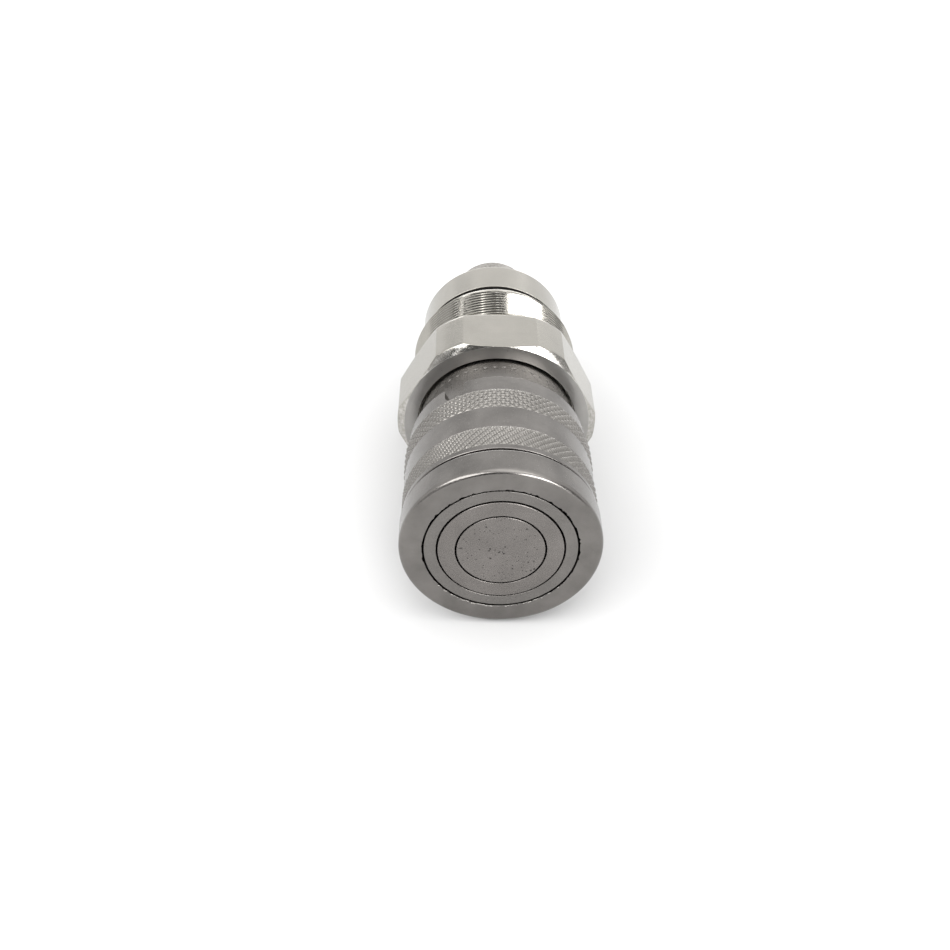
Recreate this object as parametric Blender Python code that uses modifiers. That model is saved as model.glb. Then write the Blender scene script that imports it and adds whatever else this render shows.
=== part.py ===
"""Flat-face hydraulic quick coupler, female half, with a hexagon body and a threaded panel shank.

The coupling axis is Y. The mating face lies in the plane y = 0 and looks along -Y, and Z is up.
Every dimension below is in millimetres; MM turns it into Blender's metres.
"""

import math

import bmesh
import bpy

MM = 0.001
GAP = 0.3
TURN_STEPS = 40
RING_STEPS = 30
RING_SIDES = 6

# O-ring grooves: half the width of a wide one and of a narrow one.
WIDE_GROOVE = 0.95
NARROW_GROOVE = 0.8

# Valve stem and seal sleeve, which close the flat face.
POPPET_RADIUS = 8.46
POPPET_LENGTH = 5.0
POPPET_CONE = 3.5
POPPET_SEAL_Y = 2.9
POPPET_SEAL_RADIUS = 7.84
POPPET_SEAL_CORD = 0.75
POPPET_GROOVE_DEPTH = 1.5
STEM_RADIUS = 4.6
STEM_TAIL_RADIUS = 3.9
STEM_TAIL_END = 58.8
STEM_TAIL_CHAMFER = 0.6
FACE_CHAMFER = 0.2
SEAL_SLEEVE_RADIUS = 12.05
SEAL_SLEEVE_LENGTH = 24.0
SEAL_SLEEVE_WALL = 1.85
SEAL_SLEEVE_LAND = 6.0
SEAL_SLEEVE_STEP = 2.0
SEAL_RING_Y = 20.0
SEAL_RING_RADIUS = 11.65
SEAL_RING_CORD = 0.5
SEAL_GROOVE_DEPTH = 1.05

# Drilled support that holds the stem, and its nut.
FLOW_HOLE_COUNT = 6
FLOW_HOLE_PITCH_RADIUS = 7.9
FLOW_HOLE_RADIUS = 2.3
NUT_CORNER_RADIUS = 6.2
NUT_HEIGHT = 3.2

# Front body: ball carrier, marking band and the plug that screws into the hexagon body.
BODY_BORE = 12.35
BODY_BORE_SETBACK = 0.15
CARRIER_RADIUS = 14.67
CARRIER_SETBACK = 0.1
BAND_RADIUS = 16.7
BAND_START = 26.2
BAND_END = 41.4
PLUG_RADIUS = 15.2
PLUG_END = 50.0
BORE_RING_Y = 14.5
BORE_RING_RADIUS = 13.0
BORE_RING_CORD = 0.6
BORE_GROOVE_DEPTH = 1.4
BORE_GROOVE_REAR = 2.0
BACKUP_START = 0.85
BACKUP_WIDTH = 0.8
BACKUP_CLEARANCE = 0.05
JOINT_RING_Y = 47.0
JOINT_RING_RADIUS = 14.65
JOINT_RING_CORD = 0.65
JOINT_GROOVE_DEPTH = 1.4
BALL_COUNT = 8
BALL_RADIUS = 2.0
BALL_PITCH_RADIUS = 14.2
BALL_Y = 9.8
BALL_HOLE_CLEARANCE = 0.25
STOP_RING_Y = 5.95
STOP_RING_WIDTH = 0.8
STOP_RING_INSET = 0.5
STOP_RING_PROUD = 1.2
STOP_GROOVE_DEPTH = 0.77
STOP_GROOVE_CLEARANCE = 0.25
STOP_RING_SPLIT = 2.4

# Locking sleeve.
FLANGE_RADIUS = 19.5
FLANGE_END = 6.4
GROOVE_RADIUS = 18.6
LAND_RADIUS = 19.2
GROOVE_END = 7.2
FRONT_KNURL_START = 8.4
FRONT_KNURL_END = 14.0
REAR_KNURL_START = 20.3
REAR_KNURL_END = 26.2
KNURL_RADIUS = 19.35
GRIP_RADIUS = 19.1
LIP_RADIUS = 18.55
SLEEVE_END = 31.3
RELEASE_START = 1.0
RELEASE_RADIUS = 16.4
RELEASE_RAMP = 1.2
BALL_LAND_START = 13.4
BALL_LAND_END = 14.4
SPRING_ROOM_RADIUS = 17.0
EDGE = 0.5
EDGE_MIDDLE = 0.15
LIP_CHAMFER = 0.2
WASHER_THICKNESS = 0.7

# Sleeve lock: a fixed ball, and two notches in the lip half a turn apart.
NOTCH_WIDTH = 4.3
NOTCH_BOTTOM = 26.7
NOTCH_ANGLES = (-31.0, 149.0)
LOCK_BALL_RADIUS = 1.8
LOCK_BALL_PITCH_RADIUS = 16.6
LOCK_BALL_Y = 33.45
LOCK_BALL_ANGLE = 149.0
LOCK_POCKET_CLEARANCE = 0.2

# Hexagon body with its threaded shank.
HEX_START = 39.7
HEX_END = 52.4
HEX_ACROSS_FLATS = 40.1
HEX_CORNER_RADIUS = 21.5
HEX_FACE_RADIUS = 20.0
HEX_CHAMFER = 0.87
HEX_BORE_CLEARANCE = 0.4
SHANK_RADIUS = 18.4
SHANK_RELIEF_RADIUS = 17.8
RELIEF_FILLET = 0.4
SEAT_CLEARANCE = 0.1
RELIEF_END = 1.4
THREAD_START = 1.9
SHANK_END = 65.0
SHANK_TIP_RADIUS = 17.4
SHANK_TIP_END = 67.8
SUPPORT_SEAT = 54.3
FLOW_BORE = 11.0

# Rear spigot with the port.
SPIGOT_PLUG_RADIUS = 13.0
SPIGOT_PLUG_START = 59.3
SPIGOT_PLUG_CHAMFER = 0.6
COLLAR_START = 70.4
COLLAR_RADIUS = 16.7
COLLAR_END = 79.2
COLLAR_CHAMFER = 0.3
SHOULDER_RADIUS = 14.3
SHOULDER_END = 83.4
NOSE_RADIUS = 9.2
NOSE_END = 96.0
NOSE_CHAMFER = 0.9
PORT_RADIUS = 5.5
PORT_CHAMFER = 0.5
PORT_START = 77.4
CHAMBER_RADIUS = 9.5
CHAMBER_END = 72.4
SPIGOT_RING_RADIUS = 15.0
SPIGOT_RING_CORD = 1.2

# Springs.
LOCKING_SPRING_WIRE = 0.65
LOCKING_SPRING_RADIUS = 15.85
LOCKING_SPRING_TURNS = 3.5
SEAL_SPRING_WIRE = 0.65
SEAL_SPRING_RADIUS = 11.2
SEAL_SPRING_TURNS = 7
POINTS_PER_TURN = 12


def clear_scene():
    """Remove everything the startup scene holds."""
    for obj in list(bpy.data.objects):
        bpy.data.objects.remove(obj, do_unlink=True)


def new_collection(name):
    """A collection linked to the scene."""
    collection = bpy.data.collections.new(name)
    bpy.context.scene.collection.children.link(collection)
    return collection


def new_material(name, colour, roughness, metallic):
    """A Principled material with one colour, roughness and metallic value."""
    made = bpy.data.materials.new(name)
    made.use_nodes = True
    shader = made.node_tree.nodes["Principled BSDF"]
    shader.inputs["Base Color"].default_value = (*colour, 1.0)
    shader.inputs["Roughness"].default_value = roughness
    shader.inputs["Metallic"].default_value = metallic
    made.diffuse_color = (*colour, 1.0)
    return made


def add_object(name, data, material=None):
    """An object in the parts collection or, with no material, a hidden cutter."""
    obj = bpy.data.objects.new(name, data)
    if material is None:
        cutters.objects.link(obj)
        obj.hide_render = True
        obj.display_type = "WIRE"
    else:
        parts.objects.link(obj)
        data.materials.append(material)
    return obj


def turned(name, profile, material=None, steps=TURN_STEPS):
    """Spin a closed outline of (y, radius) points about the Y axis.

    An outline whose ends lie on the axis stays open there, and the spin closes it.
    """
    mesh = bpy.data.meshes.new(name)
    points = [(radius * MM, y * MM, 0.0) for y, radius in profile]
    edges = [(i, i + 1) for i in range(len(points) - 1)]
    if profile[0][1] > 0:
        edges.append((len(points) - 1, 0))
    mesh.from_pydata(points, edges, [])
    obj = add_object(name, mesh, material)
    screw = obj.modifiers.new("Spin", "SCREW")
    screw.axis = "Y"
    screw.angle = math.tau
    screw.steps = steps
    screw.render_steps = steps
    screw.use_merge_vertices = True
    screw.merge_threshold = 0.00001
    screw.use_normal_flip = True
    return obj


def round_ring(name, y, centre_radius, cord_radius, material):
    """An O-ring: a small circle spun about the axis."""
    profile = []
    for side in range(RING_SIDES):
        angle = math.tau * (side + 0.5) / RING_SIDES
        profile.append((y + cord_radius * math.cos(angle), centre_radius - cord_radius * math.sin(angle)))
    return turned(name, profile, material, RING_STEPS)


def radial_position(angle_degrees, y, radius):
    """A point at this angle from +Z towards +X, in metres."""
    angle = math.radians(angle_degrees)
    return (radius * MM * math.sin(angle), y * MM, radius * MM * math.cos(angle))


def ball(name, angle_degrees, y, pitch_radius, radius, material):
    """A ball whose origin is its centre."""
    mesh = bpy.data.meshes.new(name)
    shape = bmesh.new()
    bmesh.ops.create_uvsphere(shape, u_segments=10, v_segments=7, radius=radius * MM)
    shape.to_mesh(mesh)
    shape.free()
    mesh.shade_smooth()
    obj = add_object(name, mesh, material)
    obj.location = radial_position(angle_degrees, y, pitch_radius)
    return obj


def radial_drill(name, angle_degrees, y, inner, outer, radius, sides=12):
    """A cylinder cutter whose axis points out from the coupling axis."""
    mesh = bpy.data.meshes.new(name)
    shape = bmesh.new()
    bmesh.ops.create_cone(
        shape,
        cap_ends=True,
        segments=sides,
        radius1=radius * MM,
        radius2=radius * MM,
        depth=(outer - inner) * MM,
    )
    shape.to_mesh(mesh)
    shape.free()
    obj = add_object(name, mesh)
    obj.location = radial_position(angle_degrees, y, (inner + outer) / 2)
    obj.rotation_euler = (0.0, math.radians(angle_degrees), 0.0)
    return obj


def axial_drill(name, angle_degrees, pitch_radius, radius, start, end, sides=12):
    """A cylinder cutter parallel to the coupling axis."""
    mesh = bpy.data.meshes.new(name)
    shape = bmesh.new()
    bmesh.ops.create_cone(
        shape,
        cap_ends=True,
        segments=sides,
        radius1=radius * MM,
        radius2=radius * MM,
        depth=(end - start) * MM,
    )
    shape.to_mesh(mesh)
    shape.free()
    obj = add_object(name, mesh)
    obj.location = radial_position(angle_degrees, (start + end) / 2, pitch_radius)
    obj.rotation_euler = (math.radians(90.0), 0.0, 0.0)
    return obj


def block(name, size, location, turn_degrees=0.0):
    """A box cutter, turned about the Y axis. Size and location are in millimetres."""
    mesh = bpy.data.meshes.new(name)
    shape = bmesh.new()
    bmesh.ops.create_cube(shape, size=1.0)
    bmesh.ops.scale(shape, vec=[side * MM for side in size], verts=shape.verts)
    shape.to_mesh(mesh)
    shape.free()
    obj = add_object(name, mesh)
    obj.location = [place * MM for place in location]
    obj.rotation_euler = (0.0, math.radians(turn_degrees), 0.0)
    return obj


def cut(obj, cutter):
    """Take the cutter's shape out of the object."""
    boolean = obj.modifiers.new(cutter.name, "BOOLEAN")
    boolean.operation = "DIFFERENCE"
    boolean.solver = "EXACT"
    boolean.object = cutter


def coil(name, start, end, mean_radius, wire_radius, turns, material):
    """A compression spring between two planes, with its end turns lying flat."""
    count = int(turns * POINTS_PER_TURN) + 1
    length = end - start - 2 * wire_radius
    curve = bpy.data.curves.new(name, "CURVE")
    curve.dimensions = "3D"
    curve.bevel_depth = wire_radius * MM
    curve.bevel_resolution = 1
    curve.use_fill_caps = True
    spline = curve.splines.new("POLY")
    spline.points.add(count - 1)
    for index, point in enumerate(spline.points):
        share = index / (count - 1)
        rise = share - 0.5 * math.sin(math.tau * share) / math.tau
        angle = math.tau * turns * share
        point.co = (
            mean_radius * MM * math.sin(angle),
            (start + wire_radius + length * rise) * MM,
            mean_radius * MM * math.cos(angle),
            1.0,
        )
    return add_object(name, curve, material)


def make_valve_stem():
    """The fixed poppet: a flat disc on a stem, with a groove for its seal."""
    groove_start = POPPET_SEAL_Y - WIDE_GROOVE
    groove_end = POPPET_SEAL_Y + WIDE_GROOVE
    groove = POPPET_RADIUS - POPPET_GROOVE_DEPTH
    profile = [
        (0.0, 0.0),
        (0.0, POPPET_RADIUS - FACE_CHAMFER),
        (FACE_CHAMFER, POPPET_RADIUS),
        (groove_start, POPPET_RADIUS),
        (groove_start, groove),
        (groove_end, groove),
        (groove_end, POPPET_RADIUS),
        (POPPET_LENGTH, POPPET_RADIUS),
        (POPPET_LENGTH + POPPET_CONE, STEM_RADIUS),
        (PLUG_END, STEM_RADIUS),
        (PLUG_END, STEM_TAIL_RADIUS),
        (STEM_TAIL_END - STEM_TAIL_CHAMFER, STEM_TAIL_RADIUS),
        (STEM_TAIL_END, STEM_TAIL_RADIUS - STEM_TAIL_CHAMFER),
        (STEM_TAIL_END, 0.0),
    ]
    turned("valve_stem", profile, steel_satin)
    round_ring("poppet_seal", POPPET_SEAL_Y, POPPET_SEAL_RADIUS, POPPET_SEAL_CORD, rubber)


def make_stem_support():
    """The spider that holds the stem, drilled for the flow, and the nut behind it."""
    front = PLUG_END + GAP
    rear = SUPPORT_SEAT - GAP
    hole = STEM_TAIL_RADIUS + GAP
    profile = [
        (front, hole),
        (front, PLUG_RADIUS - GAP),
        (front + GAP, PLUG_RADIUS),
        (rear, PLUG_RADIUS),
        (rear, hole),
    ]
    support = turned("stem_support", profile, steel_satin)
    for index in range(FLOW_HOLE_COUNT):
        drill = axial_drill(
            f"flow_hole_cutter_{index + 1}",
            360.0 * index / FLOW_HOLE_COUNT,
            FLOW_HOLE_PITCH_RADIUS,
            FLOW_HOLE_RADIUS,
            front - 1,
            rear + 1,
        )
        cut(support, drill)
    nut_rear = SUPPORT_SEAT + NUT_HEIGHT
    nut_profile = [
        (SUPPORT_SEAT, 0.0),
        (SUPPORT_SEAT, NUT_CORNER_RADIUS),
        (nut_rear, NUT_CORNER_RADIUS),
        (nut_rear, 0.0),
    ]
    nut = turned("stem_nut", nut_profile, zinc, 6)
    cut(nut, axial_drill("nut_hole_cutter", 0.0, 0.0, hole, SUPPORT_SEAT - 1, nut_rear + 1, 32))


def make_seal_sleeve():
    """The spring-loaded sleeve that closes the ring between poppet and body, with its seal."""
    bore = POPPET_RADIUS + GAP
    inner = SEAL_SLEEVE_RADIUS - SEAL_SLEEVE_WALL
    groove = SEAL_SLEEVE_RADIUS - SEAL_GROOVE_DEPTH
    profile = [
        (0.0, bore),
        (0.0, SEAL_SLEEVE_RADIUS - FACE_CHAMFER),
        (FACE_CHAMFER, SEAL_SLEEVE_RADIUS),
        (SEAL_RING_Y - NARROW_GROOVE, SEAL_SLEEVE_RADIUS),
        (SEAL_RING_Y - NARROW_GROOVE, groove),
        (SEAL_RING_Y + NARROW_GROOVE, groove),
        (SEAL_RING_Y + NARROW_GROOVE, SEAL_SLEEVE_RADIUS),
        (SEAL_SLEEVE_LENGTH, SEAL_SLEEVE_RADIUS),
        (SEAL_SLEEVE_LENGTH, inner),
        (SEAL_SLEEVE_LAND + SEAL_SLEEVE_STEP, inner),
        (SEAL_SLEEVE_LAND, bore),
    ]
    turned("seal_sleeve", profile, steel_satin)
    round_ring("seal_sleeve_o_ring", SEAL_RING_Y, SEAL_RING_RADIUS, SEAL_RING_CORD, rubber)
    coil(
        "seal_sleeve_spring",
        SEAL_SLEEVE_LENGTH + GAP,
        PLUG_END,
        SEAL_SPRING_RADIUS,
        SEAL_SPRING_WIRE,
        SEAL_SPRING_TURNS,
        spring_steel,
    )


def make_front_body():
    """The ball carrier in front, the marking band behind it, and the plug."""
    bore_groove = BODY_BORE + BORE_GROOVE_DEPTH
    bore_groove_front = BORE_RING_Y - NARROW_GROOVE
    bore_groove_rear = BORE_RING_Y + BORE_GROOVE_REAR
    joint_groove = PLUG_RADIUS - JOINT_GROOVE_DEPTH
    ring_groove = CARRIER_RADIUS - STOP_GROOVE_DEPTH
    ring_groove_front = STOP_RING_Y - STOP_GROOVE_CLEARANCE
    ring_groove_rear = STOP_RING_Y + STOP_RING_WIDTH + STOP_GROOVE_CLEARANCE
    profile = [
        (BODY_BORE_SETBACK, BODY_BORE),
        (CARRIER_SETBACK, CARRIER_RADIUS),
        (ring_groove_front, CARRIER_RADIUS),
        (ring_groove_front, ring_groove),
        (ring_groove_rear, ring_groove),
        (ring_groove_rear, CARRIER_RADIUS),
        (BAND_START, CARRIER_RADIUS),
        (BAND_START, BAND_RADIUS - GAP),
        (BAND_START + GAP, BAND_RADIUS),
        (BAND_END, BAND_RADIUS),
        (BAND_END, PLUG_RADIUS),
        (JOINT_RING_Y - WIDE_GROOVE, PLUG_RADIUS),
        (JOINT_RING_Y - WIDE_GROOVE, joint_groove),
        (JOINT_RING_Y + WIDE_GROOVE, joint_groove),
        (JOINT_RING_Y + WIDE_GROOVE, PLUG_RADIUS),
        (PLUG_END, PLUG_RADIUS),
        (PLUG_END, BODY_BORE),
        (bore_groove_rear, BODY_BORE),
        (bore_groove_rear, bore_groove),
        (bore_groove_front, bore_groove),
        (bore_groove_front, BODY_BORE),
    ]
    body = turned("front_body", profile, steel_satin)
    for index in range(BALL_COUNT):
        angle = 360.0 * index / BALL_COUNT
        drill = radial_drill(
            f"ball_hole_cutter_{index + 1}",
            angle,
            BALL_Y,
            BODY_BORE - 1.0,
            CARRIER_RADIUS + 1.0,
            BALL_RADIUS + BALL_HOLE_CLEARANCE,
        )
        cut(body, drill)
    pocket = radial_drill(
        "lock_pocket_cutter",
        LOCK_BALL_ANGLE,
        LOCK_BALL_Y,
        LOCK_BALL_PITCH_RADIUS - LOCK_BALL_RADIUS - LOCK_POCKET_CLEARANCE,
        BAND_RADIUS + 1.0,
        LOCK_BALL_RADIUS + LOCK_POCKET_CLEARANCE,
    )
    cut(body, pocket)
    round_ring("bore_o_ring", BORE_RING_Y, BORE_RING_RADIUS, BORE_RING_CORD, rubber)
    round_ring("body_joint_o_ring", JOINT_RING_Y, JOINT_RING_RADIUS, JOINT_RING_CORD, rubber)
    backup_front = BORE_RING_Y + BACKUP_START
    backup_rear = backup_front + BACKUP_WIDTH
    backup_bore = BODY_BORE + BACKUP_CLEARANCE
    backup_outer = bore_groove - GAP
    backup = [
        (backup_front, backup_bore),
        (backup_front, backup_outer),
        (backup_rear, backup_outer),
        (backup_rear, backup_bore),
    ]
    turned("bore_backup_ring", backup, ptfe, RING_STEPS)


def make_balls():
    """The locking balls, held out by the seal sleeve, and the fixed ball of the sleeve lock."""
    for index in range(BALL_COUNT):
        angle = 360.0 * index / BALL_COUNT
        ball(f"locking_ball_{index + 1}", angle, BALL_Y, BALL_PITCH_RADIUS, BALL_RADIUS, ball_steel)
    ball(
        "sleeve_lock_ball",
        LOCK_BALL_ANGLE,
        LOCK_BALL_Y,
        LOCK_BALL_PITCH_RADIUS,
        LOCK_BALL_RADIUS,
        ball_steel,
    )


def cut_notch(sleeve, number, angle_degrees):
    """A round-bottomed slot through the lip, open to the rear."""
    half = NOTCH_WIDTH / 2
    centre_y = NOTCH_BOTTOM + half
    inner = SPRING_ROOM_RADIUS - 1.5
    outer = LIP_RADIUS + 1.5
    cut(sleeve, radial_drill(f"notch_round_cutter_{number}", angle_degrees, centre_y, inner, outer, half, 24))
    length = SLEEVE_END + 1.0 - centre_y
    place = radial_position(angle_degrees, centre_y + length / 2, (inner + outer) / 2)
    slot = block(
        f"notch_slot_cutter_{number}",
        (NOTCH_WIDTH, length, outer - inner),
        [value / MM for value in place],
        angle_degrees,
    )
    cut(sleeve, slot)


def make_locking_sleeve():
    """The outer sleeve: flange, two knurled bands, plain grip band and notched lip."""
    bore = CARRIER_RADIUS + GAP
    profile = [
        (0.0, bore),
        (0.0, FLANGE_RADIUS - EDGE),
        (EDGE_MIDDLE, FLANGE_RADIUS - EDGE_MIDDLE),
        (EDGE, FLANGE_RADIUS),
        (FLANGE_END, FLANGE_RADIUS),
        (FLANGE_END, GROOVE_RADIUS),
        (GROOVE_END, GROOVE_RADIUS),
        (GROOVE_END, LAND_RADIUS),
        (FRONT_KNURL_START, LAND_RADIUS),
        (FRONT_KNURL_START, KNURL_RADIUS),
        (FRONT_KNURL_END, KNURL_RADIUS),
        (FRONT_KNURL_END, GRIP_RADIUS),
        (REAR_KNURL_START, GRIP_RADIUS),
        (REAR_KNURL_START, KNURL_RADIUS),
        (REAR_KNURL_END, KNURL_RADIUS),
        (REAR_KNURL_END, LIP_RADIUS),
        (SLEEVE_END - LIP_CHAMFER, LIP_RADIUS),
        (SLEEVE_END, LIP_RADIUS - LIP_CHAMFER),
        (SLEEVE_END, SPRING_ROOM_RADIUS),
        (BALL_LAND_END, SPRING_ROOM_RADIUS),
        (BALL_LAND_END, bore),
        (BALL_LAND_START, bore),
        (BALL_LAND_START - RELEASE_RAMP, RELEASE_RADIUS),
        (RELEASE_START, RELEASE_RADIUS),
        (RELEASE_START, bore),
    ]
    sleeve = turned("locking_sleeve", profile, steel_satin)
    for number, angle in enumerate(NOTCH_ANGLES, 1):
        cut_notch(sleeve, number, angle)


def make_sleeve_spring():
    """The spring that holds the locking sleeve forward, its washer and the stop ring."""
    washer_front = BALL_LAND_END + GAP
    washer_rear = washer_front + WASHER_THICKNESS
    washer = [
        (washer_front, CARRIER_RADIUS + GAP),
        (washer_front, SPRING_ROOM_RADIUS - GAP),
        (washer_rear, SPRING_ROOM_RADIUS - GAP),
        (washer_rear, CARRIER_RADIUS + GAP),
    ]
    turned("spring_seat_washer", washer, zinc)
    coil(
        "locking_spring",
        washer_rear + GAP,
        BAND_START - GAP,
        LOCKING_SPRING_RADIUS,
        LOCKING_SPRING_WIRE,
        LOCKING_SPRING_TURNS,
        spring_steel,
    )
    ring_inner = CARRIER_RADIUS - STOP_RING_INSET
    ring_outer = CARRIER_RADIUS + STOP_RING_PROUD
    ring = [
        (STOP_RING_Y, ring_inner),
        (STOP_RING_Y, ring_outer),
        (STOP_RING_Y + STOP_RING_WIDTH, ring_outer),
        (STOP_RING_Y + STOP_RING_WIDTH, ring_inner),
    ]
    stop = turned("sleeve_stop_ring", ring, spring_steel)
    split = block("stop_ring_split_cutter", (STOP_RING_SPLIT, 4.0, 6.0), (0.0, STOP_RING_Y, -CARRIER_RADIUS))
    cut(stop, split)


def make_hex_body():
    """The hexagon with turned corners, and the shank that carries the panel thread."""
    flat = HEX_ACROSS_FLATS / 2
    bore = BAND_RADIUS + HEX_BORE_CLEARANCE
    profile = [
        (HEX_START, bore),
        (HEX_START, HEX_FACE_RADIUS),
        (HEX_START + HEX_CHAMFER, HEX_CORNER_RADIUS),
        (HEX_END - HEX_CHAMFER, HEX_CORNER_RADIUS),
        (HEX_END, HEX_FACE_RADIUS),
        (HEX_END, SHANK_RADIUS + SEAT_CLEARANCE),
        (HEX_END + RELIEF_FILLET, SHANK_RELIEF_RADIUS),
        (HEX_END + RELIEF_END, SHANK_RELIEF_RADIUS),
        (HEX_END + THREAD_START, SHANK_RADIUS),
        (SHANK_END, SHANK_RADIUS),
        (SHANK_TIP_END, SHANK_TIP_RADIUS),
        (SHANK_TIP_END, SPIGOT_PLUG_RADIUS + GAP),
        (SPIGOT_PLUG_START - GAP, SPIGOT_PLUG_RADIUS + GAP),
        (SPIGOT_PLUG_START - GAP, FLOW_BORE),
        (SUPPORT_SEAT, FLOW_BORE),
        (SUPPORT_SEAT, PLUG_RADIUS + GAP),
        (BAND_END + GAP, PLUG_RADIUS + GAP),
        (BAND_END + GAP, bore),
    ]
    body = turned("hex_body", profile, zinc)
    depth = 6.0
    length = HEX_END - HEX_START + 1.0
    for index in range(6):
        angle = 60.0 * index
        place = radial_position(angle, (HEX_START + HEX_END) / 2, flat + depth / 2)
        slab = block(
            f"hex_flat_cutter_{index + 1}",
            (32.0, length, depth),
            [value / MM for value in place],
            angle,
        )
        cut(body, slab)


def make_rear_spigot():
    """The collar and nose behind the shank, bored through for the flow, and its O-ring."""
    profile = [
        (SPIGOT_PLUG_START, CHAMBER_RADIUS),
        (SPIGOT_PLUG_START, SPIGOT_PLUG_RADIUS - SPIGOT_PLUG_CHAMFER),
        (SPIGOT_PLUG_START + SPIGOT_PLUG_CHAMFER, SPIGOT_PLUG_RADIUS),
        (COLLAR_START, SPIGOT_PLUG_RADIUS),
        (COLLAR_START, COLLAR_RADIUS - COLLAR_CHAMFER),
        (COLLAR_START + COLLAR_CHAMFER, COLLAR_RADIUS),
        (COLLAR_END, COLLAR_RADIUS),
        (SHOULDER_END, SHOULDER_RADIUS),
        (SHOULDER_END, NOSE_RADIUS),
        (NOSE_END - NOSE_CHAMFER, NOSE_RADIUS),
        (NOSE_END, NOSE_RADIUS - NOSE_CHAMFER),
        (NOSE_END, PORT_RADIUS + PORT_CHAMFER),
        (NOSE_END - PORT_CHAMFER, PORT_RADIUS),
        (PORT_START, PORT_RADIUS),
        (CHAMBER_END, CHAMBER_RADIUS),
    ]
    turned("rear_spigot", profile, zinc)
    middle = (SHANK_TIP_END + COLLAR_START) / 2
    round_ring("spigot_o_ring", middle, SPIGOT_RING_RADIUS, SPIGOT_RING_CORD, rubber)


clear_scene()
parts = new_collection("quick_disconnect_coupler")
cutters = new_collection("cutters")
steel_satin = new_material("steel_satin", (0.27, 0.26, 0.25), 0.42, 1.0)
zinc = new_material("zinc_plate", (0.56, 0.54, 0.50), 0.34, 1.0)
spring_steel = new_material("spring_steel", (0.35, 0.35, 0.36), 0.3, 1.0)
ball_steel = new_material("ball_steel", (0.6, 0.6, 0.6), 0.12, 1.0)
rubber = new_material("black_rubber", (0.015, 0.015, 0.015), 0.55, 0.0)
ptfe = new_material("backup_plastic", (0.75, 0.73, 0.68), 0.5, 0.0)
make_valve_stem()
make_stem_support()
make_seal_sleeve()
make_front_body()
make_balls()
make_locking_sleeve()
make_sleeve_spring()
make_hex_body()
make_rear_spigot()
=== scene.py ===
"""The visual layer of the flat-face quick coupler: fine geometry, materials, light and camera.

The coupling axis is Y with the mating face at y = 0, and Z is up. Lengths are in millimetres
and become metres through MM. Angles round the axis run from +Z towards +X, in degrees.
"""
import math

import bmesh
import bpy
import numpy as np
from mathutils import Euler, Matrix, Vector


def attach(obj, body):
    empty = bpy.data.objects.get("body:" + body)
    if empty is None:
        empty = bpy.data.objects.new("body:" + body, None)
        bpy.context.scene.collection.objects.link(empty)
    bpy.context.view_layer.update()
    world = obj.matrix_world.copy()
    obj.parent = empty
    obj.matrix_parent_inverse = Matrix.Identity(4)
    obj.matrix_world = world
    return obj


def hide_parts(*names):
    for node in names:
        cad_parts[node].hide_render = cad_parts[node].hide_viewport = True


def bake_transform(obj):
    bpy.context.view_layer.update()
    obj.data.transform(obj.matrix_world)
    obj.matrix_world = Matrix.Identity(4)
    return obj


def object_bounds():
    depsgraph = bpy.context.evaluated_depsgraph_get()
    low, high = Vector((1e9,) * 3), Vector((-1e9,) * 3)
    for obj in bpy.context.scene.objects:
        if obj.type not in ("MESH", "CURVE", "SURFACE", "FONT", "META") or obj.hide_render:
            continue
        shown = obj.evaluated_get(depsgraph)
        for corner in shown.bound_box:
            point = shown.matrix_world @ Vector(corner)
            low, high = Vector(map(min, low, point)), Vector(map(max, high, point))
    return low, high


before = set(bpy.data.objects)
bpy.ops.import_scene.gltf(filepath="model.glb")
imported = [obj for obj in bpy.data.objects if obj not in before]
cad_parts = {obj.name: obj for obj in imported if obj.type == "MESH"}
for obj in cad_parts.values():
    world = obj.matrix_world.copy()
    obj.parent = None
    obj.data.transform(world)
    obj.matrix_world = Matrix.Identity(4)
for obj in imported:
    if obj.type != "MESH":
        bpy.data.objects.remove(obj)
cad_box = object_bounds()

MM = 0.001
TAU = 2 * math.pi

# Sizes shared with the CAD, in millimetres.
POPPET_RADIUS = 8.46
POPPET_SEAL_Y = 2.9
STEM_RADIUS = 4.6
STEM_TAIL_RADIUS = 3.9
STEM_TAIL_END = 58.8
SUPPORT_START = 50.3
SUPPORT_END = 54.0
FLOW_HOLE_COUNT = 6
FLOW_HOLE_RADIUS = 2.3
FLOW_HOLE_PITCH_RADIUS = 7.9
NUT_FLAT = 6.2 * math.cos(math.radians(30.0))
NUT_CORNER_RADIUS = 6.05
NUT_THICKNESS = 3.2
NUT_CHAMFER = 0.35
SEAL_SLEEVE_RADIUS = 12.05
SEAL_SLEEVE_BORE = 8.76
SEAL_SLEEVE_INNER = 10.2
SEAL_SLEEVE_LENGTH = 24.0
SEAL_SLEEVE_LAND = 6.0
SEAL_RING_Y = 20.0
SEAL_SPRING_RADIUS = 11.2
SEAL_SPRING_TURNS = 7
SPRING_WIRE = 0.65
BODY_BORE = 12.35
CARRIER_RADIUS = 14.67
BAND_RADIUS = 16.7
BAND_START = 26.2
BAND_END = 41.4
PLUG_RADIUS = 15.2
PLUG_END = 50.0
BORE_RING_Y = 14.5
JOINT_RING_Y = 47.0
BALL_COUNT = 8
BALL_RADIUS = 2.0
BALL_PITCH_RADIUS = 14.2
BALL_Y = 9.8
STOP_RING_Y = 5.95
STOP_RING_WIDTH = 0.8
SLEEVE_BORE = 14.97
FLANGE_RADIUS = 19.5
FLANGE_END = 6.4
GROOVE_RADIUS = 18.6
GROOVE_END = 7.2
LAND_RADIUS = 19.2
FRONT_KNURL = (8.4, 14.0)
REAR_KNURL = (20.3, 26.2)
KNURL_RADIUS = 19.32
KNURL_INNER_RADIUS = 18.3
SLEEVE_JOINT = 11.4
KNURL_HELIX = 47.0
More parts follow.
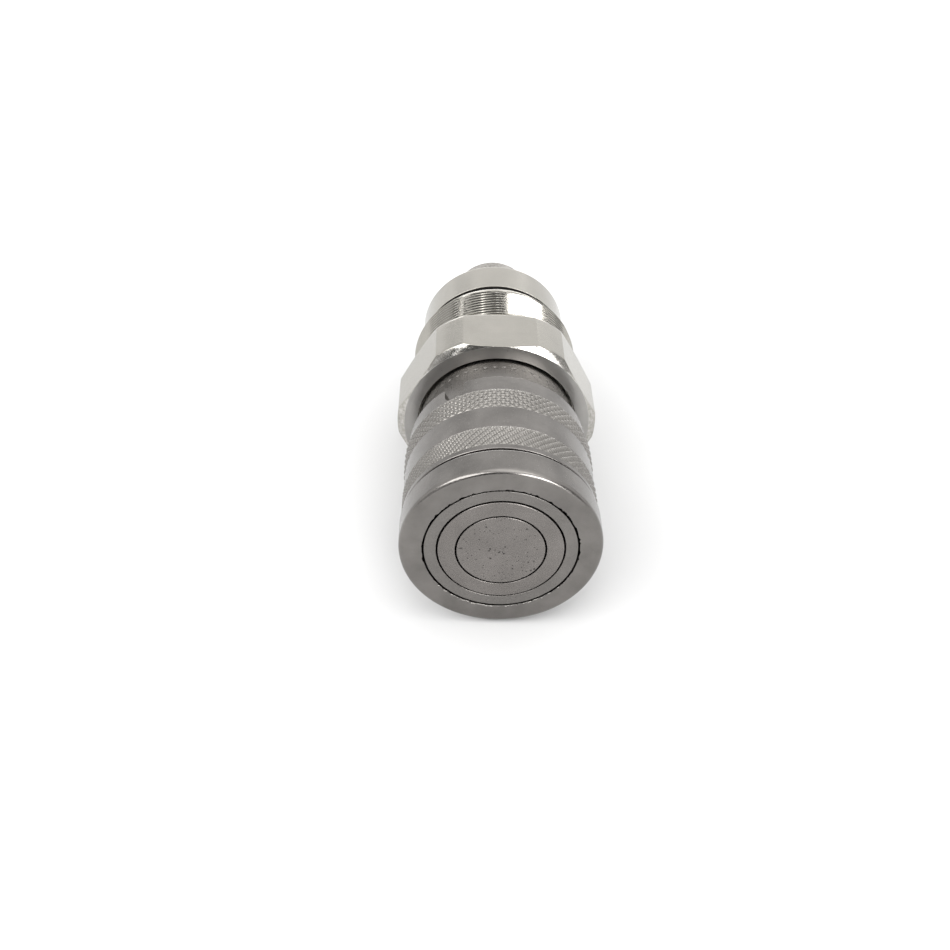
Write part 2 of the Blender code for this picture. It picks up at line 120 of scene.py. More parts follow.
GRIP_RADIUS = 19.1
SHELL_RADIUS = 18.85
LIP_RADIUS = 18.55
SLEEVE_END = 31.3
RELEASE_RADIUS = 16.4
SPRING_ROOM_RADIUS = 17.0
SPRING_ROOM_START = 14.4
WASHER_START = 14.7
WASHER_END = 15.4
WASHER_RADIUS = 16.7
LOCK_SPRING_START = 15.7
LOCK_SPRING_END = 25.9
LOCK_SPRING_RADIUS = 15.85
LOCK_SPRING_TURNS = 3.5
NOTCH_WIDTH = 4.3
NOTCH_BOTTOM = 26.7
NOTCH_ANGLES = (-31.0, 149.0)
DOT_COUNT = 15
DOT_FIRST_ANGLE = -45.5
DOT_STEP = 6.9
DOT_Y = 37.2
DOT_RADIUS = 0.34
DOT_DEPTH = 0.18
LOCK_BALL_RADIUS = 1.8
LOCK_BALL_PITCH_RADIUS = 16.6
LOCK_BALL_Y = 33.45
LOCK_BALL_ANGLE = 149.0
HEX_START = 39.7
HEX_END = 52.4
HEX_FLAT = 20.05
HEX_CORNER_RADIUS = 21.5
HEX_FACE_RADIUS = 20.0
HEX_CHAMFER = 0.87
SHANK_RADIUS = 18.4
SHANK_RELIEF_RADIUS = 17.8
SHANK_END = 65.0
SHANK_TIP_RADIUS = 17.4
SHANK_TIP_END = 67.8
SHANK_PITCH = 1.06
SHANK_CREST_RADIUS = 18.6
SHANK_ROOT_RADIUS = 17.95
SUPPORT_SEAT = 54.3
FLOW_BORE = 11.0
SPIGOT_PLUG_RADIUS = 13.0
SPIGOT_PLUG_START = 59.3
COLLAR_START = 70.4
COLLAR_RADIUS = 16.7
COLLAR_END = 79.2
SHOULDER_RADIUS = 14.3
SHOULDER_END = 83.4
NOSE_RADIUS = 9.2
NOSE_END = 96.0
PORT_RADIUS = 5.5
PORT_PITCH = 1.25
PORT_THREAD_START = 84.5
CHAMBER_RADIUS = 9.5


# ---------------------------------------------------------------- geometry helpers


def around(count):
    """Evenly spaced angles round the axis, in degrees."""
    return np.arange(count) * 360.0 / count


def radial_position(angle_degrees, y, radius):
    """A point at this angle round the axis, in metres."""
    angle = math.radians(angle_degrees)
    return (radius * MM * math.sin(angle), y * MM, radius * MM * math.cos(angle))


def rounded(points, steps=4):
    """Round the corners of an outline of (y, radius) or (y, radius, fillet) points.

    A guard point close to each end of a fillet keeps the straight stretches shaded flat.
    """
    count = len(points)
    on_axis = points[0][1] == 0 and points[-1][1] == 0
    made = []
    for index, point in enumerate(points):
        here = np.array(point[:2], float)
        fillet = point[2] if len(point) > 2 else 0.0
        if fillet <= 0 or (on_axis and index in (0, count - 1)):
            made.append(tuple(here))
            continue
        before = np.array(points[index - 1][:2], float) - here
        after = np.array(points[(index + 1) % count][:2], float) - here
        length_before = np.linalg.norm(before)
        length_after = np.linalg.norm(after)
        before /= length_before
        after /= length_after
        half = math.acos(max(-1.0, min(1.0, float(before @ after)))) / 2
        reach = min(fillet / math.tan(half), 0.44 * length_before, 0.44 * length_after)
        guard_before = min(0.05, 0.03 * length_before)
        guard_after = min(0.05, 0.03 * length_after)
        made.append(tuple(here + (reach + guard_before) * before))
        for step in range(steps + 1):
            t = step / steps
            weight = 2 * t * (1 - t) * 0.93
            rest = 1 - weight
            a = (1 - t) ** 2 / ((1 - t) ** 2 + t**2) * rest
            b = rest - a
            made.append(tuple(here + a * reach * before + b * reach * after))
        made.append(tuple(here + (reach + guard_after) * after))
    return made


def divided(outline, longest):
    """Split long stretches of an outline, so that a cut leaves no long thin faces."""
    made = []
    count = len(outline)
    for index in range(count):
        here = np.array(outline[index])
        after = np.array(outline[(index + 1) % count])
        pieces = max(1, math.ceil(float(np.linalg.norm(after - here)) / longest))
        for piece in range(pieces):
            made.append(tuple(here + (after - here) * piece / pieces))
    return made


def new_object(name, mesh, material):
    """Link a mesh object with its material."""
    obj = bpy.data.objects.new(name, mesh)
    bpy.context.scene.collection.objects.link(obj)
    if material is not None:
        mesh.materials.append(material)
    return obj


def shade(mesh, degrees=38.0):
    """Smooth shading that keeps edges sharper than this angle."""
    mesh.shade_smooth()
    mesh.set_sharp_from_angle(angle=math.radians(degrees))


def revolved_mesh(name, ys, radii, columns, closed=True):
    """A turned mesh from y and radius, each one per row or one per row and column.

    A closed outline joins its last row to its first. An open one ends in a point on the axis.
    """
    ys = np.asarray(ys, float)
    radii = np.asarray(radii, float)
    if ys.ndim == 1:
        ys = np.repeat(ys[:, None], len(columns), 1)
    if radii.ndim == 1:
        radii = np.repeat(radii[:, None], len(columns), 1)
    rows, count = radii.shape
    next_y = np.roll(ys[:, 0], -1)
    next_r = np.roll(radii[:, 0], -1)
    clockwise = float(np.sum(ys[:, 0] * next_r - next_y * radii[:, 0])) < 0
    angle = np.radians(np.asarray(columns, float))
    co = np.stack([radii * np.sin(angle), ys, radii * np.cos(angle)], -1) * MM
    vertices = co.reshape(-1, 3)
    index = np.arange(rows * count).reshape(rows, count)
    if closed:
        index = np.vstack([index, index[:1]])
    else:
        index = index[1:-1]
    a = index[:-1]
    b = index[1:]
    c = np.roll(b, -1, 1)
    d = np.roll(a, -1, 1)
    quads = np.stack([a, d, c, b] if clockwise else [a, b, c, d], -1).reshape(-1, 4)
    faces = quads.tolist()
    if not closed:
        front = index[0]
        rear = index[-1]
        start = 0
        end = (rows - 1) * count
        for j in range(count):
            k = (j + 1) % count
            if clockwise:
                faces.append([start, int(front[k]), int(front[j])])
                faces.append([end, int(rear[j]), int(rear[k])])
            else:
                faces.append([start, int(front[j]), int(front[k])])
                faces.append([end, int(rear[k]), int(rear[j])])
    used = sorted({v for face in faces for v in face})
    place = {v: i for i, v in enumerate(used)}
    mesh = bpy.data.meshes.new(name)
    mesh.from_pydata(
        vertices[used].tolist(), [], [[place[v] for v in face] for face in faces]
    )
    mesh.update()
    return mesh


def turned(name, points, material, segments=192, steps=4):
    """A turned piece from an outline of (y, radius[, fillet]) points."""
    outline = rounded(points, steps)
    closed = not (outline[0][1] == 0 and outline[-1][1] == 0)
    mesh = revolved_mesh(name, *np.array(outline).T, around(segments), closed)
    shade(mesh)
    return new_object(name, mesh, material)


def round_ring(name, y, centre_radius, cord_radius, material, segments=160, sides=20):
    """An O-ring."""
    turn = np.arange(sides) * TAU / sides
    ys = y + cord_radius * np.cos(turn)
    radii = centre_radius - cord_radius * np.sin(turn)
    mesh = revolved_mesh(name, ys, radii, around(segments))
    mesh.shade_smooth()
    return new_object(name, mesh, material)


def ball(name, angle_degrees, y, pitch_radius, radius, material):
    """A polished ball."""
    mesh = bpy.data.meshes.new(name)
    shape = bmesh.new()
    bmesh.ops.create_icosphere(shape, subdivisions=4, radius=radius * MM)
    bmesh.ops.translate(shape, vec=radial_position(angle_degrees, y, pitch_radius), verts=shape.verts)
    shape.to_mesh(mesh)
    shape.free()
    mesh.shade_smooth()
    return new_object(name, mesh, material)


def tube(name, path, wire, radial, material, sides=14):
    """A round wire along a path of points, with flat ends. All in millimetres."""
    path = np.asarray(path, float)
    radial = np.asarray(radial, float)
    tangent = np.gradient(path, axis=0)
    tangent /= np.linalg.norm(tangent, axis=1)[:, None]
    radial = radial - tangent * np.sum(radial * tangent, 1)[:, None]
    radial /= np.linalg.norm(radial, axis=1)[:, None]
    side = np.cross(tangent, radial)
    turn = np.arange(sides) * TAU / sides
    ring = (
        path[:, None, :]
        + wire * np.cos(turn)[None, :, None] * radial[:, None, :]
        + wire * np.sin(turn)[None, :, None] * side[:, None, :]
    )
    count = len(path)
    index = np.arange(count * sides).reshape(count, sides)
    a = index[:-1]
    b = index[1:]
    quads = np.stack([a, np.roll(a, -1, 1), np.roll(b, -1, 1), b], -1).reshape(-1, 4)
    faces = quads.tolist()
    faces.append(index[0][::-1].tolist())
    faces.append(index[-1].tolist())
    mesh = bpy.data.meshes.new(name)
    mesh.from_pydata((ring.reshape(-1, 3) * MM).tolist(), [], faces)
    shade(mesh, 50)
    return new_object(name, mesh, material)


def coil(name, start, end, mean_radius, wire, turns, material):
    """A compression spring with closed ends."""
    share = np.linspace(0.0, 1.0, int(turns * 48) + 1)
    rise = share - 0.5 * np.sin(TAU * share) / TAU
    angle = TAU * turns * share
    radial = np.stack([np.sin(angle), np.zeros_like(angle), np.cos(angle)], -1)
    path = radial * mean_radius
    path[:, 1] = start + wire + (end - start - 2 * wire) * rise
    return tube(name, path, wire, radial, material)


def cylinder(name, radius, length, sides):
    """A round cutter along Z, centred on the origin."""
    mesh = bpy.data.meshes.new(name)
    shape = bmesh.new()
    bmesh.ops.create_cone(
        shape,
        cap_ends=True,
        segments=sides,
        radius1=radius * MM,
        radius2=radius * MM,
        depth=length * MM,
    )
    shape.to_mesh(mesh)
    shape.free()
    return new_object(name, mesh, None)


def drill(name, angle_degrees, y, inner, outer, radius, sides=40):
    """A round cutter whose axis points out from the coupling axis."""
    obj = cylinder(name, radius, outer - inner, sides)
    obj.location = radial_position(angle_degrees, y, (inner + outer) / 2)
    obj.rotation_euler = (0.0, math.radians(angle_degrees), 0.0)
    return obj


def axial_drill(name, angle_degrees, pitch_radius, radius, start, end, sides=48):
    """A round cutter parallel to the coupling axis."""
    obj = cylinder(name, radius, end - start, sides)
    obj.location = radial_position(angle_degrees, (start + end) / 2, pitch_radius)
    obj.rotation_euler = (math.radians(90.0), 0.0, 0.0)
    return obj


def prism(name, outline, angle_degrees, inner, outer):
    """A cutter: an outline of (across, y) points pushed out from the axis."""
    count = len(outline)
    vertices = [(x * MM, y * MM, level * MM) for level in (inner, outer) for x, y in outline]
    area = sum(
        outline[i][0] * outline[(i + 1) % count][1] - outline[(i + 1) % count][0] * outline[i][1]
        for i in range(count)
    )
    faces = [[i, (i + 1) % count, count + (i + 1) % count, count + i] for i in range(count)]
    faces.append(list(range(count))[::-1])
    faces.append(list(range(count, 2 * count)))
    if area < 0:
        faces = [face[::-1] for face in faces]
    mesh = bpy.data.meshes.new(name)
    mesh.from_pydata(vertices, [], faces)
    obj = new_object(name, mesh, None)
    obj.rotation_euler = (0.0, math.radians(angle_degrees), 0.0)
    return obj


def cut(obj, cutters, bevel=0.0):
    """Take the cutters out of the object, soften the new edges, and keep the result as its mesh."""
    group = bpy.data.collections.new(obj.name + "_cutters")
    for cutter in cutters:
        group.objects.link(cutter)
    boolean = obj.modifiers.new("Cut", "BOOLEAN")
    boolean.operation = "DIFFERENCE"
    boolean.solver = "EXACT"
    boolean.operand_type = "COLLECTION"
    boolean.collection = group
    if bevel > 0:
        soften = obj.modifiers.new("Soften", "BEVEL")
        soften.width = bevel * MM
        soften.segments = 2
        soften.limit_method = "ANGLE"
        soften.angle_limit = math.radians(50.0)
    bpy.context.view_layer.update()
    graph = bpy.context.evaluated_depsgraph_get()
    finished = bpy.data.meshes.new_from_object(obj.evaluated_get(graph), depsgraph=graph)
    obj.modifiers.clear()
    old = obj.data
    finished.name = obj.name
    obj.data = finished
    bpy.data.meshes.remove(old)
    shade(finished)
    for cutter in cutters:
        bpy.data.objects.remove(cutter, do_unlink=True)
    bpy.data.collections.remove(group)


def place(obj, body, slot, *nodes):
    """Ride and replace in one call. slot is not used."""
    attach(obj, body)
    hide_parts(*nodes)
    return obj


# ---------------------------------------------------------------- materials


class Nodes:
    """Small helper for wiring a material."""

    def __init__(self, name):
        self.material = bpy.data.materials.new(name)
        self.material.use_nodes = True
        self.tree = self.material.node_tree
        self.shader = self.tree.nodes["Principled BSDF"]

    def add(self, kind, inputs=None, **settings):
        """A node of this kind, with each input linked from a socket or set to a value."""
        node = self.tree.nodes.new(kind)
        for key, value in settings.items():
            setattr(node, key, value)
        for key, value in (inputs or {}).items():
            if isinstance(value, bpy.types.NodeSocket):
                self.tree.links.new(value, node.inputs[key])
            else:
                node.inputs[key].default_value = value
        return node

    def math(self, operation, first, second=0.0):
        """One arithmetic step."""
        node = self.add("ShaderNodeMath", {0: first, 1: second}, operation=operation)
        return node.outputs[0]

    def scaled(self, value, low, high, to_low, to_high):
        """The value mapped from one range to another, and held inside it."""
        node = self.add(
            "ShaderNodeMapRange",
            {"Value": value, "From Min": low, "From Max": high, "To Min": to_low, "To Max": to_high},
        )
        return node.outputs["Result"]

    def mix(self, factor, first, second, blend="MIX"):
        """Two colours mixed. Sockets 0, 6 and 7 are the colour mode's factor, A and B."""
        inputs = {0: factor, 6: first, 7: second}
        return self.add("ShaderNodeMix", inputs, data_type="RGBA", blend_type=blend).outputs[2]

    def noise(self, vector, scale, detail=2.0, roughness=0.5):
        """Fractal noise, around 0.5."""
        node = self.add(
            "ShaderNodeTexNoise",
            {"Vector": vector, "Scale": scale, "Detail": detail, "Roughness": roughness},
        )
        return node.outputs["Fac"]

    def link(self, value, socket):
        """Drive one of the shader's own inputs."""
        self.tree.links.new(value, self.shader.inputs[socket])


def linear(colour):
    """sRGB 0-255 to linear 0-1 with alpha."""
    made = []
    for value in colour:
        share = value / 255
        made.append(share / 12.92 if share <= 0.04045 else ((share + 0.055) / 1.055) ** 2.4)
    return (*made, 1.0)


def scaled_colour(base, factor, lift=0.0):
    """A linear colour made darker or lighter, with full alpha."""
    return tuple(min(1.0, c * factor + lift) for c in base[:3]) + (1.0,)


def metal(
    name,
    colour,
    roughness=0.38,
    lines=0.5,
    mottle=0.08,
    pits=0.0,
    speckle=0.0,
    wear=0.35,
    bump=0.00002,
    hollow_shade=0.0,
):
    """Turned and plated metal.

    lines: tool lines round the axis. mottle: clouding. pits: small dark pits. speckle: a rough
    surface of light and dark flecks. wear: brighter outer edges. hollow_shade: painted shade
    that darkens the hollows.
    bump: height of the surface grain, in metres.
    """
    n = Nodes(name)
    position = n.add("ShaderNodeTexCoord").outputs["Object"]
    parts = n.add("ShaderNodeSeparateXYZ", {"Vector": position})
    across = n.math("MULTIPLY", parts.outputs["X"], parts.outputs["X"])
    upward = n.math("MULTIPLY", parts.outputs["Z"], parts.outputs["Z"])
    radius = n.math("SQRT", n.math("ADD", across, upward))
    polar = n.add("ShaderNodeCombineXYZ", {"X": radius, "Y": parts.outputs["Y"]})
    tool = n.noise(polar.outputs[0], 2600.0, 2.0, 0.6)
    tool_broad = n.noise(polar.outputs[0], 900.0, 1.0)
    cloud = n.noise(position, 140.0, 4.0, 0.6)
    grain = n.noise(position, 2600.0, 3.0, 0.6)
    base = linear(colour)
    dark = scaled_colour(base, 1 - 2.2 * mottle)
    light = scaled_colour(base, 1 + 1.6 * mottle)
    tint = n.mix(n.scaled(cloud, 0.3, 0.7, 0.0, 1.0), dark, light)
    streak = n.math("ADD", n.math("MULTIPLY", tool, 0.6), n.math("MULTIPLY", tool_broad, 0.4))
    line_level = n.scaled(streak, 0.3, 0.7, 1.0 - 0.16 * lines, 1.0 + 0.12 * lines)
    line_shade = n.add("ShaderNodeCombineXYZ", {axis: line_level for axis in "XYZ"})
    tint = n.mix(1.0, tint, line_shade.outputs[0], "MULTIPLY")
    height = n.math("MULTIPLY", grain, 0.8)
    rough = n.scaled(grain, 0.25, 0.75, roughness - 0.07, roughness + 0.09)
    if pits > 0:
        for scale, reach in ((1500.0, 0.2), (800.0, 0.36)):
            spots = n.add("ShaderNodeTexVoronoi", {"Vector": position, "Scale": scale})
            ragged = n.scaled(n.noise(position, 6.0 * scale, 2.0), 0.3, 0.7, -0.06, 0.06)
            size = n.scaled(spots.outputs["Color"], 0.25, 1.0, -0.05, reach)
            near = n.math("ADD", n.math("ADD", spots.outputs["Distance"], size), ragged)
            pit = n.scaled(near, 0.08, 0.17, pits, 0.0)
            tint = n.mix(pit, tint, scaled_colour(base, 0.22))
            height = n.math("SUBTRACT", height, n.math("MULTIPLY", pit, 2.5))
    if speckle > 0:
        coarse = n.noise(position, 1500.0, 4.0, 0.75)
        flecks = n.scaled(coarse, 0.42, 0.62, 0.0, speckle)
        tint = n.mix(flecks, tint, (0.93, 0.92, 0.9, 1.0))
        dark_flecks = n.scaled(n.noise(position, 1150.0, 3.0, 0.7), 0.52, 0.66, 0.0, speckle)
        tint = n.mix(dark_flecks, tint, scaled_colour(base, 0.35))
        height = n.math("ADD", height, n.math("MULTIPLY", coarse, 4.0 * speckle))
    geometry = n.add("ShaderNodeNewGeometry")
    if wear > 0:
        worn = n.scaled(geometry.outputs["Pointiness"], 0.52, 0.6, 0.0, wear)
        broken = n.math("MULTIPLY", worn, n.scaled(n.noise(position, 700.0, 3.0), 0.35, 0.6, 0.25, 1.0))
        tint = n.mix(broken, tint, scaled_colour(base, 1.5, 0.08))
    # Painted shade: the hollows, found by pointiness, are darkened to stand in for the shade in them.
    if hollow_shade > 0:
        deep = n.scaled(geometry.outputs["Pointiness"], 0.4, 0.49, hollow_shade, 0.0)
        tint = n.mix(deep, tint, scaled_colour(base, 0.25))
    n.link(tint, "Base Color")
    n.link(rough, "Roughness")
    n.shader.inputs["Metallic"].default_value = 1.0
    bumped = n.add("ShaderNodeBump", {"Height": height, "Strength": 0.6, "Distance": bump})
    n.link(bumped.outputs[0], "Normal")
    return n.material


def rubber_material():
    """Black nitrile rubber with a faint bloom and moulding grain."""
    n = Nodes("rubber_black")
    position = n.add("ShaderNodeTexCoord").outputs["Object"]
    grain = n.noise(position, 1800.0, 4.0, 0.6)
    bloom = n.noise(position, 160.0, 3.0)
    black = (0.012, 0.012, 0.013, 1.0)
    dusty = (0.035, 0.035, 0.036, 1.0)
    tint = n.mix(n.scaled(bloom, 0.4, 0.75, 0.0, 0.6), black, dusty)
    n.link(tint, "Base Color")
    n.link(n.scaled(grain, 0.3, 0.7, 0.42, 0.62), "Roughness")
    bumped = n.add("ShaderNodeBump", {"Height": grain, "Strength": 0.4, "Distance": 0.00003})
    n.link(bumped.outputs[0], "Normal")
    return n.material


def plastic_material():
    """Off-white backup ring plastic."""
    n = Nodes("plastic_backup")
    position = n.add("ShaderNodeTexCoord").outputs["Object"]
    grain = n.noise(position, 900.0, 3.0, 0.6)
    tint = n.mix(n.scaled(grain, 0.3, 0.7, 0.0, 1.0), (0.62, 0.6, 0.54, 1.0), (0.74, 0.72, 0.66, 1.0))
    n.link(tint, "Base Color")
    n.link(n.scaled(grain, 0.3, 0.7, 0.4, 0.58), "Roughness")
    bumped = n.add("ShaderNodeBump", {"Height": grain, "Strength": 0.3, "Distance": 0.00002})
    n.link(bumped.outputs[0], "Normal")
    return n.material


poppet_steel = metal("steel_poppet", (125, 121, 118), 0.27, 0.0, 0.06, pits=0.9, wear=0.0)
sleeve_steel = metal("steel_satin_sleeve", (121, 118, 115), 0.2, 0.0, 0.09, wear=0.0)
inner_steel = metal("steel_satin_inner", (124, 120, 117), 0.27, 0.0, 0.06, wear=0.0)
band_steel = metal("steel_marking_band", (121, 118, 115), 0.3, 0.2, 0.05, wear=0.0, bump=0.00001)
# The knurl material carries painted shade in its grooves.
knurl_steel = metal("steel_knurl", (130, 127, 123), 0.25, 0.1, 0.05, wear=0.5, hollow_shade=0.8)
zinc = metal("zinc_plated", (164, 161, 154), 0.18, 0.15, 0.02)
zinc_face = metal("zinc_face", (168, 166, 163), 0.34, 0.15, 0.03, wear=0.0, bump=0.000006)
# The thread material carries painted shade in the thread roots.
zinc_thread = metal("zinc_thread", (166, 163, 156), 0.12, 0.1, 0.03, wear=0.2, bump=0.000006, hollow_shade=0.5)
zinc_rough = metal("zinc_chamfer_rough", (165, 162, 156), 0.12, 0.2, 0.05, speckle=0.3, bump=0.000014)
zinc_dull = metal("zinc_dull", (147, 144, 139), 0.24, 0.3, 0.04)
spring_wire = metal("spring_wire", (126, 126, 128), 0.24, 0.15, 0.05, bump=0.00001)
ball_chrome = metal("ball_chrome", (176, 176, 178), 0.1, 0.0, 0.03, bump=0.000002)
rubber = rubber_material()
plastic = plastic_material()


# ---------------------------------------------------------------- valve stem and support


def make_valve_stem():
    """Poppet disc, stem and threaded tail, with the centre pip the lathe leaves."""
    groove = (POPPET_SEAL_Y - 0.95, POPPET_SEAL_Y + 0.95)
    points = [
        (0.0, 0.0),
        (0.0, 0.22),
        (0.06, 0.34),
        (0.06, 0.5),
        (0.0, 0.62, 0.1),
        (0.0, POPPET_RADIUS, 0.16),
        (groove[0], POPPET_RADIUS, 0.08),
        (groove[0], POPPET_RADIUS - 1.5, 0.12),
        (groove[1], POPPET_RADIUS - 1.5, 0.12),
        (groove[1], POPPET_RADIUS, 0.08),
        (5.0, POPPET_RADIUS, 0.25),
        (8.5, STEM_RADIUS, 1.2),
        (PLUG_END, STEM_RADIUS, 0.1),
        (PLUG_END, STEM_TAIL_RADIUS, 0.1),
        (STEM_TAIL_END, STEM_TAIL_RADIUS, 0.5),
        (STEM_TAIL_END, 0.0),
    ]
    stem = turned("valve_stem_detail", points, poppet_steel)
    place(stem, "coupler_body", "satin_steel", "valve_stem")
    seal = round_ring("poppet_seal_detail", POPPET_SEAL_Y, POPPET_RADIUS - 0.62, 0.75, rubber)
    place(seal, "coupler_body", "black_rubber", "poppet_seal")


def make_stem_support():
    """Drilled spider that carries the stem."""
    hole = STEM_TAIL_RADIUS + 0.3
    points = [
        (SUPPORT_START, hole, 0.2),
        (SUPPORT_START, PLUG_RADIUS, 0.3),
        (SUPPORT_END, PLUG_RADIUS, 0.2),
        (SUPPORT_END, hole, 0.2),
    ]
    support = turned("stem_support_detail", points, inner_steel, 144)
    drills = [
        axial_drill(
            f"flow_hole_{index}",
            360.0 / FLOW_HOLE_COUNT * index,
            FLOW_HOLE_PITCH_RADIUS,
            FLOW_HOLE_RADIUS,
            SUPPORT_START - 1,
            SUPPORT_END + 1,
        )
        for index in range(FLOW_HOLE_COUNT)
    ]
    cut(support, drills, 0.15)
    place(support, "coupler_body", "satin_steel", "stem_support")


def make_stem_nut():
    """Chamfered hexagon nut behind the spider."""
    columns, flat = hex_columns(NUT_FLAT, NUT_CORNER_RADIUS, 0.0)
    start = SUPPORT_SEAT
    end = start + NUT_THICKNESS
    hole = STEM_TAIL_RADIUS + 0.3
    outside = (
        (start, NUT_CORNER_RADIUS - 0.75),
        (start + NUT_CHAMFER, NUT_CORNER_RADIUS),
        (end - NUT_CHAMFER, NUT_CORNER_RADIUS),
        (end, NUT_CORNER_RADIUS - 0.75),
    )
    bore = (
        (end, hole + NUT_CHAMFER),
        (end - NUT_CHAMFER, hole),
        (start + NUT_CHAMFER, hole),
        (start, hole + NUT_CHAMFER),
    )
    ys = [y for y, _ in outside + bore]
    ys = np.repeat(np.array(ys)[:, None], len(columns), 1)
    radii = [np.minimum(flat, limit) for _, limit in outside]
    radii += [np.full(len(columns), radius) for _, radius in bore]
    mesh = revolved_mesh("stem_nut_detail", ys, radii, columns)
    shade(mesh, 25)
    place(new_object("stem_nut_detail", mesh, zinc), "coupler_body", "zinc_plate", "stem_nut")


# ---------------------------------------------------------------- seal sleeve


def make_seal_sleeve():
    """Spring-loaded flat-face sleeve, its seal and its spring."""
    radius = SEAL_SLEEVE_RADIUS
    groove = radius - 1.05
    points = [
        (0.0, SEAL_SLEEVE_BORE, 0.14),
        (0.0, radius, 0.2),
        (SEAL_RING_Y - 0.8, radius, 0.08),
        (SEAL_RING_Y - 0.8, groove, 0.1),
        (SEAL_RING_Y + 0.8, groove, 0.1),
        (SEAL_RING_Y + 0.8, radius, 0.08),
        (SEAL_SLEEVE_LENGTH, radius, 0.2),
        (SEAL_SLEEVE_LENGTH, SEAL_SLEEVE_INNER, 0.2),
        (SEAL_SLEEVE_LAND + 2.0, SEAL_SLEEVE_INNER, 0.3),
        (SEAL_SLEEVE_LAND, SEAL_SLEEVE_BORE, 0.3),
    ]
    sleeve = turned("seal_sleeve_detail", points, inner_steel)
    place(sleeve, "seal_sleeve", "satin_steel", "seal_sleeve")
    ring = round_ring("seal_sleeve_o_ring_detail", SEAL_RING_Y, radius - 0.4, 0.5, rubber)
    place(ring, "seal_sleeve", "black_rubber", "seal_sleeve_o_ring")
    spring = coil(
        "seal_sleeve_spring_detail",
        SEAL_SLEEVE_LENGTH + 0.3,
        PLUG_END,
        SEAL_SPRING_RADIUS,
        SPRING_WIRE,
        SEAL_SPRING_TURNS,
        spring_wire,
    )
    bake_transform(spring)
    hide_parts("seal_sleeve_spring")


# ---------------------------------------------------------------- front body


def peened_dots(y, turn):
    """Depth in mm of the row of peened dots at each y and angle."""
    depth = np.zeros((len(y), len(turn)))
    for index in range(DOT_COUNT):
        away = (turn - DOT_FIRST_ANGLE - DOT_STEP * index + 180.0) % 360.0 - 180.0
        across = np.radians(away) * BAND_RADIUS
        distance = np.sqrt((y[:, None] - DOT_Y) ** 2 + across[None, :] ** 2)
        depth = np.maximum(depth, DOT_DEPTH * np.clip(1 - (distance / DOT_RADIUS) ** 2, 0, 1))
    return depth


